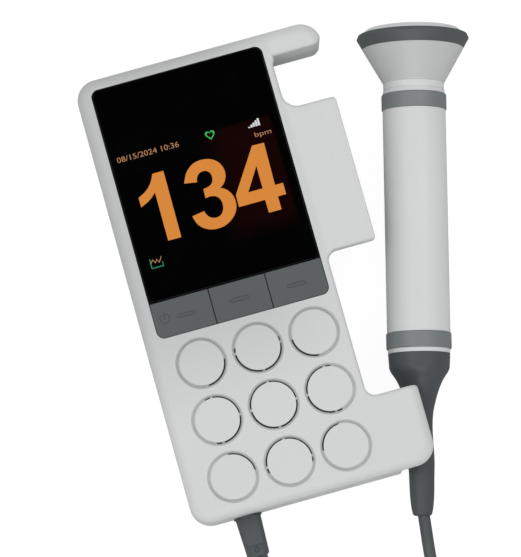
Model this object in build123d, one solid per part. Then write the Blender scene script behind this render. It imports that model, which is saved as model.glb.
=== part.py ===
from build123d import *
import os
from math import cos, pi, radians, sin, sqrt, tan

# Fetal doppler monitor: a handheld unit that lies on its back, and a pencil-shaped
# probe that lies beside it on its own lead. Millimetres, +Z out of the display,
# +Y towards the ear, +X towards the probe. The origin lies on the back face, behind
# the display's centre line, halfway up the unit.

# ---------------------------------------------------------------- casing dimensions
unit_length = 140.5
unit_depth = 32.0
left_reach = 31.8
wall_reach = 29.0
arm_reach = 44.7
ear_reach = 45.4
ear_height = 8.0
ear_floor = 12.5
upper_notch = 16.9
tab_height = 45.7
lower_notch = 45.95
arm_plate = 4.6
wall = 2.0
parting_height = 24.0
waist_height = 12.0
back_taper = 20.0
corner_radius = 6.5
front_round = 4.0
back_round = 1.6
notch_edge_round = 1.2
notch_fillet = 3.2
tab_fillet = 4.8
ear_corner_radius = 3.3
ledge_height = 10.0
ledge_setback = 3.5
foot_wall_reach = 33.4
foot_ledge_length = 12.0
tab_roll_start = 38.9
tab_roll_radius = 18.5
tab_edge_round = 0.6
seam_depth = 0.45
seam_height = 0.6
joint_gap = 0.1

# ---------------------------------------------------------------- display and keys
display_centre = -0.2
window_width = 54.2
window_top_margin = 3.75
window_height = 67.9
window_corner = 2.4
window_thickness = 1.6
window_recess = 0.1
window_edge_round = 0.4
key_height = 11.35
key_gap = 0.2
key_split_left = -8.75
key_split_right = 9.05
key_recess = 0.15
key_edge_round = 0.25
key_travel = 0.6
key_flange_reach = 0.8
key_flange_thickness = 1.0
slip = 0.15
screen_width = 49.6
backlight_width = 47.0
screen_height = 60.0
screen_thickness = 1.9
backlight_thickness = 1.5
carrier_floor = 1.0
board_thickness = 1.6
board_width = 48.0
board_side_gap = 1.6
shield_width = 24.0
shield_length = 26.0
shield_height = 3.0
shield_corner = 1.0
processor_size = 12.0
processor_height = 1.4
component_gap = 8.0
switch_radius = 2.4
switch_height = 1.3

# ---------------------------------------------------------------- loudspeaker grille
grille_offset = 1.1
grille_bottom_margin = 11.55
ring_pitch_x = 17.7
ring_pitch_y = 17.9
disc_radius = 6.8
slot_width = 0.45
bevel_width = 0.7
groove_depth = 1.1
bridge_width = 0.8
open_radius = 20.8
cloth_thickness = 0.5
cloth_margin = 1.0
speaker_radius = 20.0
speaker_flange = 2.0
surround_radius = 17.3
surround_thickness = 0.7
magnet_radius = 12.5
magnet_height = 4.5
magnet_round = 0.6
cone_depth = 1.6
cone_edge = 1.0
basket_height = 4.7

# ---------------------------------------------------------------- batteries and door
cell_radius = 7.1
cell_length = 49.3
nipple_radius = 2.75
nipple_length = 1.2
cell_pitch = 14.7
battery_centre = 5.6
battery_bottom_margin = 10.5
cell_clearance = 0.3
contact_room = 2.2
contact_thickness = 0.4
compartment_wall = 1.0
door_drop = 0.3
door_rail = 1.1
door_travel = 10.0
door_grip_pitch = 2.4
door_grip_count = 5
door_grip_radius = 0.5

# ---------------------------------------------------------------- screws
screw_radius = 1.1
screw_head_radius = 2.2
screw_head_height = 1.6
screw_head_recess = 0.5
screw_head_round = 0.4
screw_arm = 1.35
screw_blade = 0.3
screw_slot_depth = 0.9
screw_length = 20.0
screw_end_room = 1.0
boss_radius = 2.6
boss_joint_height = 12.0
screw_left = -24.0
screw_right = 24.3
screw_low_margin = 10.0
screw_mid_margin = 53.5

# ---------------------------------------------------------------- sockets and plug
plug_offset = -15.4
plug_height = 17.0
plug_pin_radius = 1.75
plug_pin_length = 11.0
plug_pin_round = 0.8
socket_width = 9.2
socket_length = 10.5
socket_height = 9.0
socket_clearance = 0.05
plug_flange_radius = 4.35
plug_flange_length = 0.6
plug_body_width = 7.8
plug_body_tip_width = 6.9
plug_body_facet = 1.3
plug_body_length = 12.7
plug_chamfer = 1.1
plug_step_length = 4.0
plug_step_depth = 0.3
plug_dimple_radius = 0.95
plug_dimple_depth = 0.5
boot_neck_radius = 2.8
boot_tip_radius = 2.4
boot_length = 12.0
socket_pcb_thickness = 1.4
headphone_offset = -12.0
headphone_radius = 1.8
headphone_length = 12.0

# ---------------------------------------------------------------- probe
probe_swing = 14.7
exit_x = 36.05
exit_y = -84.6
dock_axis_x = 42.0
table_gap = 0.05
rim_radius = 17.35
rim_crown = 3.1
rim_overhang = 1.75
rim_lip = 0.25
rim_edge_round = 1.2
face_radius = 15.8
face_rebate = 0.5
face_slope = 0.35
face_curve = [
    (0.75, 0.95),
    (1.2, 1.42),
    (1.9, 1.66),
]
dome_height = 0.8
shell_wall = 1.6
face_thickness = 1.2
neck_radius = 9.4
neck_flare = 0.35
neck_flare_length = 1.4
neck_groove_depth = 0.15
neck_groove_width = 0.3
cone_base_radius = 9.5
cone_length = 10.73
collar_length = 3.67
band_radius = 10.05
band_length = 5.0
band_edge_round = 0.35
tube_radius = 9.75
tube_length = 69.1
tube_wall = 2.2
spigot_radius = 8.6
spacer_radius = 9.55
spacer_length = 1.35
cap_radius = 9.55
cap_shoulder_radius = 9.3
cap_length = 4.35
tail_radius = 4.05
relief_length = 45.2
relief_tip_radius = 2.95
relief_curve = [
    (7.75, 0.938),
    (6.15, 0.868),
    (5.4, 0.822),
    (4.72, 0.770),
    (4.0, 0.698),
    (3.68, 0.606),
    (3.75, 0.515),
    (tail_radius, 0.360),
    (3.92, 0.278),
]
tip_chamfer = 0.4
shoulder_lean = 0.25
cord_bore_clearance = 0.12
mouth_flare = 0.55
mouth_depth = 3.5
crystal_radius = 10.0
crystal_thickness = 1.0
crystal_gap = 0.8
backing_clearance = 0.6
backing_thickness = 2.4
probe_board_width = 14.2
probe_board_length = 58.0
probe_board_thickness = 1.2
clamp_setback = 1.0

# ---------------------------------------------------------------- lead
cord_diameter = 3.7
cord_start_gap = 0.6
cord_lean = 0.5
coil_centre_x = 6.5
coil_centre_y = -156.0
coil_inner_radius = 14.6
coil_pitch = 3.8
coil_edge_round = 1.5
coil_columns = 5
coil_rows = 2
coil_turns = 7.5
coil_stub = 18.0
tie_thickness = 0.45
tie_width = 6.0
arc_share = 0.45
probe_lead_route = [
    (34.9, -97.0, 16.4),
    (34.4, -108.8, 11.4),
    (35.2, -119.8, 5.4),
    (36.3, -129.5, 2.3),
]
plug_lead_route = [
    (-15.4, -103.5, 17.0),
    (-17.2, -113.2, 13.4),
    (-21.6, -122.2, 8.2),
    (-23.3, -130.2, 6.1),
]

# ---------------------------------------------------------------- derived places
beyond = 5.0
level_slack = 0.01
top = unit_length / 2
bottom = -unit_length / 2
ear_bottom = top - ear_height
tab_top = ear_bottom - upper_notch
tab_bottom = tab_top - tab_height
foot_top = tab_bottom - lower_notch
plate_back = unit_depth - arm_plate
ceiling = unit_depth - wall
inner_right = wall_reach - wall
inner_left = -left_reach + wall
window_top = top - window_top_margin
window_bottom = window_top - window_height
window_left = display_centre - window_width / 2
window_right = display_centre + window_width / 2
keys_bottom = window_bottom - key_height
probe_axis_z = rim_radius + table_gap
cone_radius = rim_radius - rim_overhang
rim_length = rim_crown + rim_edge_round
head_clearance = 3 * slip
backing_radius = cone_radius - 2 * shell_wall - backing_clearance
grille_bottom = bottom + grille_bottom_margin
grille_middle = grille_bottom + ring_pitch_y
board_top = unit_depth - window_recess - window_thickness - joint_gap - screen_thickness \
    - backlight_thickness - carrier_floor - 2 * joint_gap
board_bottom = board_top - board_thickness
cell_axis_z = wall + cell_radius + cell_clearance
compartment_bottom = bottom + battery_bottom_margin
compartment_length = cell_length + nipple_length + 2 * contact_room
compartment_top = compartment_bottom + compartment_length
compartment_half = cell_pitch / 2 + cell_radius + cell_clearance
roof_height = cell_axis_z + cell_radius + cell_clearance
screw_low = bottom + screw_low_margin
screw_mid = bottom + screw_mid_margin
screw_places = [
    (screw_left, screw_low),
    (screw_right, screw_low),
    (screw_left, screw_mid),
    (screw_right, screw_mid),
]


# ---------------------------------------------------------------- helpers
def block(x0, x1, y0, y1, z0, z1):
    """A box between two corners."""
    centre = ((x0 + x1) / 2, (y0 + y1) / 2, (z0 + z1) / 2)
    return Pos(*centre) * Box(x1 - x0, y1 - y0, z1 - z0)


def post(x, y, z0, z1, radius):
    """An upright cylinder."""
    return Pos(x, y, (z0 + z1) / 2) * Cylinder(radius, z1 - z0)


def rod(x, z, y0, y1, radius):
    """A cylinder along Y."""
    return Pos(x, (y0 + y1) / 2, z) * Rot(90, 0, 0) * Cylinder(radius, y1 - y0)


def slab(x0, x1, y0, y1, z0, z1, corner):
    """A plate with rounded upright corners."""
    plan = Pos((x0 + x1) / 2, (y0 + y1) / 2, z0) * RectangleRounded(x1 - x0, y1 - y0, corner)
    return extrude(plan, amount=z1 - z0)


def turned(*profile):
    """A solid of revolution about Y from (radius, station) points."""
    points = [(radius, station) for radius, station in profile]
    return revolve(make_face(Polyline(*points, close=True)), axis=Axis.Y)


def tube(outer, inner, y0, y1):
    """A straight ring about Y."""
    return turned((inner, y0), (outer, y0), (outer, y1), (inner, y1))


def edges_at(shape, height):
    """The edges that lie in one level plane."""
    return shape.edges().filter_by_position(Axis.Z, height - level_slack, height + level_slack)


def edges_along(shape, station):
    """The edges that lie in one plane across the Y axis."""
    return shape.edges().filter_by_position(Axis.Y, station - level_slack, station + level_slack)


# ---------------------------------------------------------------- casing
def outer_form(reach, inset, rounded):
    """A rounded box as long as the unit that reaches so far to the right."""
    width = left_reach + reach - 2 * inset
    length = unit_length - 2 * inset
    centre_x = (reach - left_reach) / 2
    plan = RectangleRounded(width, length, corner_radius - inset)
    upper = extrude(Pos(centre_x, 0, waist_height) * plan, amount=unit_depth - inset - waist_height)
    lower = extrude(
        Pos(centre_x, 0, waist_height) * plan,
        amount=waist_height - inset,
        dir=(0, 0, -1),
        taper=back_taper,
    )
    if rounded:
        upper = fillet(edges_at(upper, unit_depth), front_round)
        lower = fillet(edges_at(lower, 0), back_round)
    return upper + lower


def hull(inset, rounded):
    """The unit's full outer form, or its hollow when inset by a wall."""
    far = unit_length
    split = (tab_top + ear_bottom) / 2
    ear = outer_form(ear_reach, inset, rounded) & block(-far, far, split, far, -far, far)
    rest = outer_form(arm_reach, inset, rounded) & block(-far, far, -far, split, -far, far)
    return ear + rest


def notch(y0, y1, low_fillet):
    """A gap right through the right side, with rounded inner corners."""
    gap = block(wall_reach, arm_reach + beyond, y0, y1, -beyond, unit_depth + beyond)
    for corner, radius in ((0, low_fillet), (-1, notch_fillet)):
        inner = gap.edges().filter_by(Axis.Z).group_by(Axis.X)[0].sort_by(Axis.Y)
        gap = fillet(inner[corner], radius)
    return gap


def side_cuts():
    """Everything that is cut out of the hull beside the body."""
    far = arm_reach + beyond
    cuts = [
        notch(tab_top, ear_bottom, tab_fillet),
        notch(foot_top, tab_bottom, notch_fillet),
        block(
            wall_reach, far, tab_bottom - notch_fillet, tab_top + notch_fillet,
            ledge_height, plate_back,
        ),
        block(foot_wall_reach, far, bottom - beyond, bottom + ledge_setback, -beyond, plate_back),
        block(
            wall_reach, far, bottom + ledge_setback, foot_top + notch_fillet,
            probe_axis_z - tail_radius - cord_bore_clearance - joint_gap, plate_back,
        ),
        block(
            wall_reach, far, bottom + foot_ledge_length, tab_bottom + ledge_setback,
            -beyond, plate_back,
        ),
        block(wall_reach, far, ear_bottom - beyond, top + beyond, -beyond, ear_floor),
        rod(dock_axis_x, probe_axis_z, tab_bottom, tab_top, band_radius + slip),
        rod(
            dock_axis_x, probe_axis_z, tab_top + tab_fillet, ear_bottom,
            rim_radius + head_clearance,
        ),
    ]
    return cuts + [ear_corner(0)]


def ear_corner(inset):
    """What lies outside the ear's round lower corner, or outside it set in."""
    x = ear_reach - ear_corner_radius
    y = ear_bottom + ear_corner_radius
    high = unit_depth + beyond
    corner = block(x, arm_reach + beyond, ear_bottom - beyond, y, -beyond, high)
    return corner - post(x, y, -beyond, high, ear_corner_radius - inset)


def tab_roll(shell):
    """The shell with the tab's outer end rolled gently down."""
    low = tab_bottom - beyond
    high = tab_top + beyond
    end = block(tab_roll_start, arm_reach, low, high, plate_back, unit_depth)
    end &= rod(tab_roll_start, unit_depth - tab_roll_radius, low, high, tab_roll_radius)
    edge = end.edges().filter_by(Axis.Y).group_by(Axis.X)[-1].sort_by(Axis.Z)[-1]
    room = block(
        tab_roll_start, arm_reach + beyond, low, high, plate_back, unit_depth + beyond,
    )
    return shell - room + fillet(edge, tab_edge_round)


def soften(shell):
    """The shell with the front edges of its two notches rounded."""
    edges = [
        edge for edge in edges_at(shell, unit_depth)
        if wall_reach - level_slack < edge.center().X < tab_roll_start - level_slack
    ]
    return fillet(edges, notch_edge_round)


def seam():
    """The fine groove that runs round the case where its halves meet."""
    far = unit_length
    core = hull(seam_depth, False)
    side = block(
        wall_reach - seam_depth, far, -far, ear_bottom + seam_depth, -beyond, unit_depth,
    )
    core -= fillet(
        side.edges().filter_by(Axis.Z).sort_by(Axis.X)[:2].sort_by(Axis.Y)[-1],
        notch_fillet + seam_depth,
    )
    core -= ear_corner(seam_depth)
    core += block(
        inner_right, foot_wall_reach - seam_depth, bottom + seam_depth,
        bottom + ledge_setback - seam_depth, -beyond, unit_depth,
    )
    low = parting_height - joint_gap - seam_height
    return block(-far, far, -far, far, low, parting_height) - core


def hollow():
    """The room inside the body and the ear."""
    room = hull(wall, False)
    far = arm_reach + beyond
    room -= block(inner_right, far, bottom - beyond, ear_bottom + wall, -beyond, unit_depth)
    room -= block(inner_right, far, ear_bottom, top + beyond, -beyond, ear_floor + wall)
    scoop = rod(
        dock_axis_x, probe_axis_z, tab_top - wall, ear_bottom + wall,
        rim_radius + head_clearance + wall,
    )
    return room - scoop


def ring_centres():
    """The centres of the nine grille rings."""
    for column in (-1, 0, 1):
        for row in (-1, 0, 1):
            yield grille_offset + column * ring_pitch_x, grille_middle + row * ring_pitch_y


def grille_groove(x, y):
    """One ring groove with its bevelled outer edge."""
    outer = disc_radius + slot_width
    floor = unit_depth - groove_depth
    groove = post(x, y, floor, unit_depth + beyond, outer)
    groove += Pos(x, y, unit_depth - groove_depth / 2) * Cone(outer, outer + bevel_width, groove_depth)
    return groove - post(x, y, floor, unit_depth + beyond, disc_radius)


def grille_slot(x, y):
    """Where one groove is open to the loudspeaker: all but four arms that hold the disc."""
    outer = disc_radius + slot_width
    low = ceiling - beyond
    slot = post(x, y, low, unit_depth, outer) - post(x, y, low, unit_depth, disc_radius)
    slot -= block(x - outer, x + outer, y - bridge_width / 2, y + bridge_width / 2, low, unit_depth)
    slot -= block(x - bridge_width / 2, x + bridge_width / 2, y - outer, y + outer, low, unit_depth)
    return slot & post(grille_offset, grille_middle, low, unit_depth, open_radius)


def casing():
    """The front and rear halves of the moulded case."""
    shell = tab_roll(hull(0, True))
    for cut in side_cuts():
        shell -= cut
    shell = soften(shell) - hollow()
    far = unit_length
    above = block(-far, far, -far, far, parting_height, far)
    below = block(-far, far, -far, far, -far, parting_height - joint_gap)
    front = shell & above
    rear = (shell & below) - seam()

    front -= slab(
        window_left, window_right, keys_bottom, window_top,
        ceiling - beyond, unit_depth + beyond, window_corner,
    )
    for x, y in ring_centres():
        front -= grille_groove(x, y)
        front -= grille_slot(x, y)
    for x, y in screw_places:
        front += post(x, y, boss_joint_height + joint_gap, ceiling, boss_radius)
        front -= post(x, y, 0, wall + screw_length + screw_end_room, screw_radius + joint_gap)

    left = battery_centre - compartment_half
    right = battery_centre + compartment_half
    low, high = compartment_bottom, compartment_top
    side = compartment_wall
    rail_side = door_rail + slip + side
    rear += block(left - side, right + side, low - side, high + side, wall, roof_height + side)
    rear += block(
        left - rail_side, right + rail_side, low - side, high + rail_side, wall, wall + 2 * side,
    )
    rear -= block(left, right, low, high, -beyond, roof_height)
    for x, y in screw_places:
        rear += post(x, y, wall / 2, boss_joint_height, boss_radius)
        rear -= post(x, y, -beyond, boss_joint_height + beyond, screw_radius + joint_gap)
        seat = screw_head_recess + screw_head_height
        rear -= post(x, y, -beyond, seat, screw_head_radius + joint_gap)
    rear -= block(
        left - door_rail - slip, right + door_rail + slip, bottom - beyond, high + door_rail,
        wall / 2, wall + joint_gap,
    )
    rear -= block(left - slip, right + slip, bottom - beyond, high, -beyond, wall)
    rear += socket_bed()
    rear -= rod(
        plug_offset, plug_height, bottom - beyond, bottom + 2 * wall, plug_pin_radius + slip,
    )
    rear -= rod(
        headphone_offset, plug_height, top - 2 * wall, top + beyond, headphone_radius + wall,
    )
    return front, rear


def socket_bed():
    """The rib that carries the probe socket's board."""
    floor = plug_height - socket_height / 2 - socket_pcb_thickness
    half = socket_width / 2
    return block(
        plug_offset - half, plug_offset + half, bottom + waist_height * tan(radians(back_taper)),
        bottom + wall + socket_length, wall, floor - joint_gap / 2,
    ) - rod(plug_offset, waist_height / 2, bottom, 0, waist_height / 4)


# ---------------------------------------------------------------- display and keys
def display_parts():
    """Window, screen, backlight and the carrier that holds them."""
    glass_top = unit_depth - window_recess
    glass_bottom = glass_top - window_thickness
    window = slab(
        window_left + slip, window_right - slip, window_bottom + slip / 2, window_top - slip,
        glass_bottom, glass_top, window_corner - slip,
    )
    window = fillet(edges_at(window, glass_top), window_edge_round)
    screen_top = glass_bottom - joint_gap
    screen_bottom = screen_top - screen_thickness
    centre_y = (window_top + window_bottom) / 2
    low = centre_y - screen_height / 2
    high = centre_y + screen_height / 2
    screen_left = display_centre - screen_width / 2
    screen_right = display_centre + screen_width / 2
    screen = block(screen_left, screen_right, low, high, screen_bottom, screen_top)
    light_bottom = screen_bottom - backlight_thickness
    light_left = display_centre - backlight_width / 2
    light_right = display_centre + backlight_width / 2
    light = block(light_left, light_right, low, high, light_bottom, screen_bottom - joint_gap / 2)
    outer_left = inner_left + 2 * joint_gap
    outer_right = inner_right - 2 * joint_gap
    carrier = block(
        outer_left, outer_right, window_bottom + joint_gap, top - wall - 4 * joint_gap,
        light_bottom - carrier_floor, ceiling - joint_gap / 2,
    )
    carrier -= block(
        screen_left - slip, screen_right + slip, low - slip, high + slip,
        screen_bottom - joint_gap / 2, ceiling,
    )
    carrier -= block(
        light_left - slip, light_right + slip, low - slip, high + slip, light_bottom, ceiling,
    )
    carrier -= block(
        window_left, window_right, window_bottom - beyond, window_top,
        glass_bottom - joint_gap / 2, ceiling + beyond,
    )
    carrier -= rod(
        dock_axis_x, probe_axis_z, tab_top - wall - joint_gap, ear_bottom + wall + joint_gap,
        rim_radius + head_clearance + wall + joint_gap,
    )
    carrier = carrier & hull(wall + 2 * joint_gap, False)
    return {
        "display_window": window,
        "display_panel": screen,
        "display_backlight": light,
        "display_carrier": carrier,
    }


def key(x0, x1, outer_corner_left, outer_corner_right):
    """One soft key with the flange that keeps it in the case."""
    face = unit_depth - key_recess
    y0 = keys_bottom + slip
    y1 = window_bottom - slip
    cap = block(x0, x1, y0, y1, ceiling - joint_gap - key_flange_thickness, face)
    low_edges = cap.edges().filter_by(Axis.Z).group_by(Axis.Y)[0].sort_by(Axis.X)
    if outer_corner_left:
        cap = fillet(low_edges[0], window_corner - slip)
    if outer_corner_right:
        cap = fillet(low_edges[-1], window_corner - slip)
    cap = fillet(edges_at(cap, face), key_edge_round)
    flange_top = ceiling - 3 * joint_gap
    flange = block(
        x0, x1, y0 - key_flange_reach, y1 - key_gap,
        flange_top - key_flange_thickness, flange_top,
    )
    return cap + flange


def keypad_parts():
    """Three soft keys, their rubber mat and the switches under it."""
    edges = (window_left + slip, key_split_left, key_split_right, window_right - slip)
    names = ("soft_key_left", "soft_key_middle", "soft_key_right")
    parts = {}
    mat_top = ceiling - 3 * joint_gap - key_flange_thickness - key_travel - joint_gap
    mat = block(
        edges[0] - key_flange_reach, edges[-1], keys_bottom - key_flange_reach,
        window_bottom - slip, board_top + joint_gap / 2, mat_top,
    )
    for index, name in enumerate(names):
        x0 = edges[index] + (key_gap / 2 if index else 0)
        x1 = edges[index + 1] - (key_gap / 2 if index < len(names) - 1 else 0)
        parts[name] = key(x0, x1, index == 0, index == len(names) - 1)
        x = (x0 + x1) / 2
        y = (keys_bottom + window_bottom) / 2
        switch_top = board_top + switch_height
        mat -= post(x, y, 0, switch_top + 2 * joint_gap, switch_radius + 2 * slip)
        parts[name.replace("soft_key", "key_switch")] = (
            post(x, y, board_top, switch_top - 3 * joint_gap, switch_radius)
            + post(x, y, board_top, switch_top, switch_radius / 2)
        )
    parts["keypad_mat"] = mat
    return parts


# ---------------------------------------------------------------- electronics
def electronics_parts():
    """Main board with its shield can and processor."""
    left = inner_left + board_side_gap
    right = left + board_width
    board = block(
        left, right, keys_bottom - key_flange_reach, ear_bottom, board_bottom, board_top,
    )
    middle = (left + right) / 2
    shield_low = tab_top - shield_length
    shield = slab(
        middle - shield_width / 2, middle + shield_width / 2, shield_low, tab_top,
        board_bottom - shield_height, board_bottom, shield_corner,
    )
    chip_high = shield_low - component_gap
    chip = block(
        middle - processor_size / 2, middle + processor_size / 2,
        chip_high - processor_size, chip_high,
        board_bottom - processor_height, board_bottom,
    )
    return {"main_board": board, "shield_can": shield, "processor": chip}


def speaker_parts():
    """Loudspeaker behind the grille, with its cloth."""
    x, y = grille_offset, grille_middle
    reach = open_radius + cloth_margin
    cloth = block(x - reach, x + reach, y - reach, y + reach, ceiling - cloth_thickness, ceiling)
    for px, py in screw_places:
        cloth -= post(px, py, 0, unit_depth, boss_radius + joint_gap)
    flange_top = ceiling - cloth_thickness
    flange_bottom = flange_top - speaker_flange
    basket_bottom = flange_bottom - basket_height
    frame = post(x, y, flange_bottom, flange_top, speaker_radius)
    frame += Pos(x, y, (basket_bottom + flange_bottom) / 2) * Cone(
        magnet_radius, speaker_radius - speaker_flange, basket_height,
    )
    throat = magnet_radius / 2
    bowl_low = basket_bottom + cone_edge
    bowl_high = flange_top - surround_thickness - 3 * joint_gap
    bowl_radius = surround_radius - speaker_flange
    frame -= Pos(x, y, (bowl_low + bowl_high) / 2) * Cone(throat, bowl_radius, bowl_high - bowl_low)
    frame -= post(x, y, bowl_high, flange_top + beyond, surround_radius + slip)
    cone_height = bowl_high - bowl_low
    cone_place = Pos(x, y, (bowl_low + bowl_high) / 2)
    cone = cone_place * Cone(throat - cone_edge, bowl_radius - cone_edge, cone_height)
    ring = post(x, y, bowl_high + joint_gap, bowl_high + joint_gap + surround_thickness, surround_radius)
    cone += ring + post(x, y, bowl_high - joint_gap, bowl_high + joint_gap, bowl_radius - cone_edge)
    cone -= cone_place * Pos(0, 0, cone_depth) * Cone(
        throat - cone_edge, bowl_radius - cone_edge, cone_height,
    )
    magnet = post(x, y, basket_bottom - magnet_height, basket_bottom, magnet_radius)
    magnet = fillet(edges_at(magnet, basket_bottom - magnet_height), magnet_round)
    return {
        "speaker_cloth": cloth,
        "speaker_frame": frame,
        "speaker_cone": cone,
        "speaker_magnet": magnet,
    }


def socket_parts():
    """Probe socket with its board, and the headphone socket."""
    half_w = socket_width / 2
    half_h = socket_height / 2
    inner = bottom + wall
    probe_socket = block(
        plug_offset - half_w, plug_offset + half_w, inner + joint_gap, inner + socket_length,
        plug_height - half_h, plug_height + half_h,
    )
    probe_socket -= rod(
        plug_offset, plug_height, inner - wall, bottom + plug_pin_length + slip,
        plug_pin_radius + socket_clearance,
    )
    board_high = plug_height - half_h
    board = block(
        plug_offset - half_w, plug_offset + half_w, inner + socket_pcb_thickness,
        inner + socket_length, board_high - socket_pcb_thickness, board_high,
    )
    rim = headphone_radius + wall - slip
    headphone = block(
        headphone_offset - half_w, headphone_offset + half_w, top - headphone_length - joint_gap,
        top - wall - joint_gap, plug_height - half_h, board_bottom - joint_gap / 2,
    )
    headphone += rod(headphone_offset, plug_height, top - 2 * wall, top - joint_gap, rim)
    headphone -= rod(
        headphone_offset, plug_height, top - headphone_length, top + beyond, headphone_radius,
    )
    return {"probe_socket": probe_socket, "socket_board": board, "headphone_socket": headphone}


def fasteners():
    """The case screws, each with a cross recess in its head."""
    head_low = screw_head_recess
    head_high = screw_head_recess + screw_head_height - joint_gap
    group = []
    for x, y in screw_places:
        head = post(x, y, head_low, head_high, screw_head_radius)
        head = fillet(edges_at(head, head_low), screw_head_round)
        screw = head + post(x, y, head_high - joint_gap, head_low + screw_length, screw_radius)
        for half_x, half_y in ((screw_arm, screw_blade), (screw_blade, screw_arm)):
            screw -= block(
                x - half_x, x + half_x, y - half_y, y + half_y, -beyond, head_low + screw_slot_depth,
            )
        group.append(screw)
    return Compound(children=group)


def battery_parts():
    """Two cells, their contacts and the sliding door."""
    parts = {}
    low, high = compartment_bottom, compartment_top
    for name, side in (("left", -1), ("right", 1)):
        x = battery_centre + side * cell_pitch / 2
        y0 = low + contact_room
        body = rod(x, cell_axis_z, y0, y0 + cell_length, cell_radius)
        tip = rod(
            x, cell_axis_z, y0 + cell_length, y0 + cell_length + nipple_length, nipple_radius,
        )
        cell = body + tip
        if side > 0:
            cell = Pos(x, low + high, cell_axis_z) * Rot(0, 0, 180) * Pos(-x, 0, -cell_axis_z) * cell
        parts[f"battery_cell_{name}"] = cell
    reach = compartment_half - cell_clearance
    for name, y0, y1 in (
        ("low", low, low + contact_thickness),
        ("high", high - contact_thickness, high),
    ):
        plate = block(
            battery_centre - reach, battery_centre + reach, y0, y1,
            cell_axis_z - cell_radius / 2, cell_axis_z + cell_radius / 2,
        )
        for side in (-1, 1):
            x = battery_centre + side * cell_pitch / 2
            y_in = y1 if name == "low" else y0
            y_tip = low + contact_room - joint_gap if name == "low" else high - contact_room + joint_gap
            start, end = min(y_in, y_tip), max(y_in, y_tip)
            plate += rod(x, cell_axis_z, start, end, nipple_radius)
        parts[f"battery_contact_{name}"] = plate
    parts["battery_door"] = battery_door()
    return parts


def battery_door():
    """The cover that slides off the bottom end in two rails."""
    left = battery_centre - compartment_half
    right = battery_centre + compartment_half
    end = bottom + waist_height * tan(radians(back_taper)) + back_round
    face = block(left, right, end, compartment_top - slip, door_drop, wall - joint_gap)
    rails = block(
        left - door_rail, right + door_rail, end, compartment_top + door_rail - slip,
        wall / 2 + joint_gap, wall - joint_gap,
    )
    door = face + rails
    start = end + 2 * door_grip_pitch
    for index in range(door_grip_count):
        y = start + index * door_grip_pitch
        groove = Pos(battery_centre, y, door_drop) * Rot(0, 90, 0)
        groove *= Cylinder(door_grip_radius, compartment_half)
        door -= groove
    return door


# ---------------------------------------------------------------- probe
def stations():
    """Distances along the probe, from the cord's exit to the sound face."""
    marks = {"shoulder": relief_length}
    marks["spacer"] = marks["shoulder"] + cap_length
    marks["low_band"] = marks["spacer"] + spacer_length
    marks["body"] = marks["low_band"] + band_length
    marks["high_band"] = marks["body"] + tube_length
    marks["collar"] = marks["high_band"] + band_length
    marks["cone"] = marks["collar"] + collar_length
    marks["rim"] = marks["cone"] + cone_length
    marks["face"] = marks["rim"] + rim_length
    return marks


def strain_relief(at):
    """Tail cap and cord boot, moulded in one."""
    bore = cord_diameter / 2 + cord_bore_clearance
    top_of_cap = at["spacer"] - joint_gap / 2
    curve = Spline(
        (cap_shoulder_radius, at["shoulder"]),
        *[(radius, share * relief_length) for radius, share in relief_curve],
        (relief_tip_radius, tip_chamfer),
        tangents=[(-shoulder_lean, -1), (-shoulder_lean, -1)],
    )
    lines = [
        Line((bore, top_of_cap), (cap_radius, top_of_cap)),
        Line((cap_radius, top_of_cap), (cap_shoulder_radius, at["shoulder"])),
        curve,
        Line((relief_tip_radius, tip_chamfer), (relief_tip_radius - tip_chamfer, 0)),
        Line((relief_tip_radius - tip_chamfer, 0), (bore + mouth_flare, 0)),
        Line((bore + mouth_flare, 0), (bore, mouth_depth)),
        Line((bore, mouth_depth), (bore, top_of_cap)),
    ]
    relief = revolve(make_face(Wire(lines)), axis=Axis.Y)
    pocket = tube(
        spigot_radius - tube_wall / 2, 0, at["shoulder"] + shell_wall, top_of_cap + beyond,
    )
    return relief - pocket


def probe_parts():
    """Every piece of the probe, built along +Y from the cord's exit."""
    at = stations()
    gap = joint_gap / 2
    parts = {"strain_relief": strain_relief(at)}
    parts["spacer_ring"] = tube(
        spacer_radius, spigot_radius + gap, at["spacer"], at["low_band"] - gap,
    )
    parts["lower_band"] = grip_band(at["low_band"], at["body"] - gap)
    parts["upper_band"] = grip_band(at["high_band"] + gap, at["collar"] - gap)
    bore = tube_radius - tube_wall
    parts["probe_body"] = turned(
        (bore, at["spacer"]), (spigot_radius, at["spacer"]), (spigot_radius, at["body"]),
        (tube_radius, at["body"]), (tube_radius, at["high_band"]),
        (spigot_radius, at["high_band"]), (spigot_radius, at["collar"] - joint_gap),
        (bore, at["collar"] - joint_gap),
    )
    spigot = cone_radius - shell_wall
    front = at["face"] - face_rebate - gap
    flare_top = at["collar"] + neck_flare_length
    groove_floor = neck_radius - neck_groove_depth
    half_groove = neck_groove_width / 2
    parts["head_shell"] = turned(
        (bore, at["collar"]), (neck_radius + neck_flare, at["collar"]),
        (neck_radius, flare_top - half_groove), (groove_floor, flare_top),
        (neck_radius, flare_top + half_groove), (neck_radius, at["cone"] - neck_groove_width),
        (groove_floor, at["cone"] - half_groove), (cone_base_radius, at["cone"]),
        (cone_radius, at["rim"] - gap), (spigot, at["rim"] - gap), (spigot, front),
        (spigot - shell_wall, front), (spigot - shell_wall, at["rim"]), (bore, at["cone"]),
    )
    parts["rim_band"] = rim_band(at, spigot + joint_gap)
    parts.update(transducer_parts(at))
    parts.update(probe_inner_parts(at, bore))
    return {name: probe_place() * part for name, part in parts.items()}


def grip_band(low, high):
    """A soft band round the body, with rounded outer edges."""
    band = tube(band_radius, spigot_radius + joint_gap / 2, low, high)
    rims = ShapeList(edges_along(band, low) + edges_along(band, high))
    return fillet(rims.sort_by(SortBy.RADIUS)[-2:], band_edge_round)


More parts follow.
